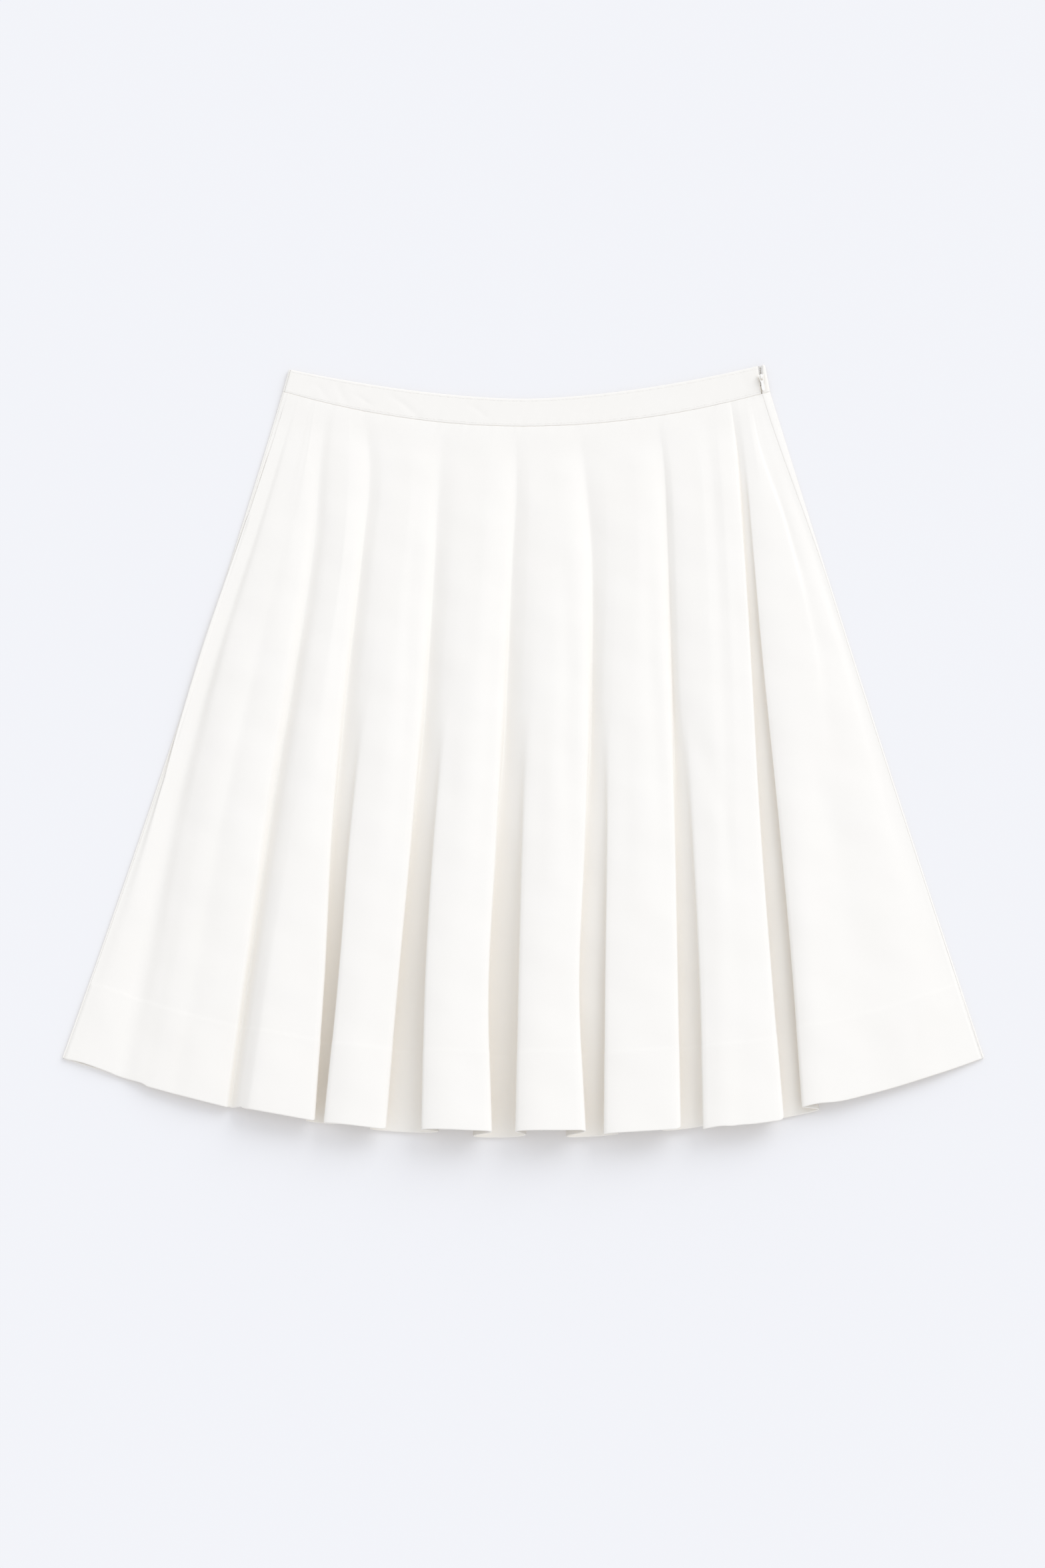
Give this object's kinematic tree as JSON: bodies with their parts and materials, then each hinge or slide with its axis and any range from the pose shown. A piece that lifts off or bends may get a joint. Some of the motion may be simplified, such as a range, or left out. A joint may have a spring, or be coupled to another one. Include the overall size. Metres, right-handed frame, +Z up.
{
  "type": "circle skirt",
  "caption": "White cotton circle skirt laid flat, front up: soft rolling folds down to a deep turned hem, a narrow curved waistband and a side zip with a small pull tab.",
  "frame": {"origin": "centre of the laid-out skirt's outline, on the surface that it lies on", "axes": "+Z up from the surface, +Y from the hem towards the waist, +X to the right as seen from above, which is the wearer's left"},
  "size_m": [0.702, 0.6246, 0.0257],
  "materials": {
    "skirt_cotton": "smooth white cotton sateen with a faint sheen along the folds",
    "band_cotton": "the same white cotton, doubled and topstitched along the waistband",
    "zip_tape": "tightly woven white zip tape",
    "zip_enamel": "glossy white enamel over metal"
  },
  "bodies": {
    "skirt": {"front_panel": "skirt_cotton", "back_panel": "skirt_cotton", "waistband_front": "band_cotton", "waistband_back": "band_cotton", "zip_tape": "zip_tape", "zip_slider": "zip_enamel"},
    "pull_tab": {"zip_pull": "zip_enamel"}
  },
  "joints": [
    {"name": "pull_tab_hinge", "type": "hinge", "parent": "skirt", "child": "pull_tab", "pos_m": [0.186, 0.3006, 0.0069], "axis": [-0.9848, -0.1736, 0], "range_deg": [0, 160]}
  ]
}
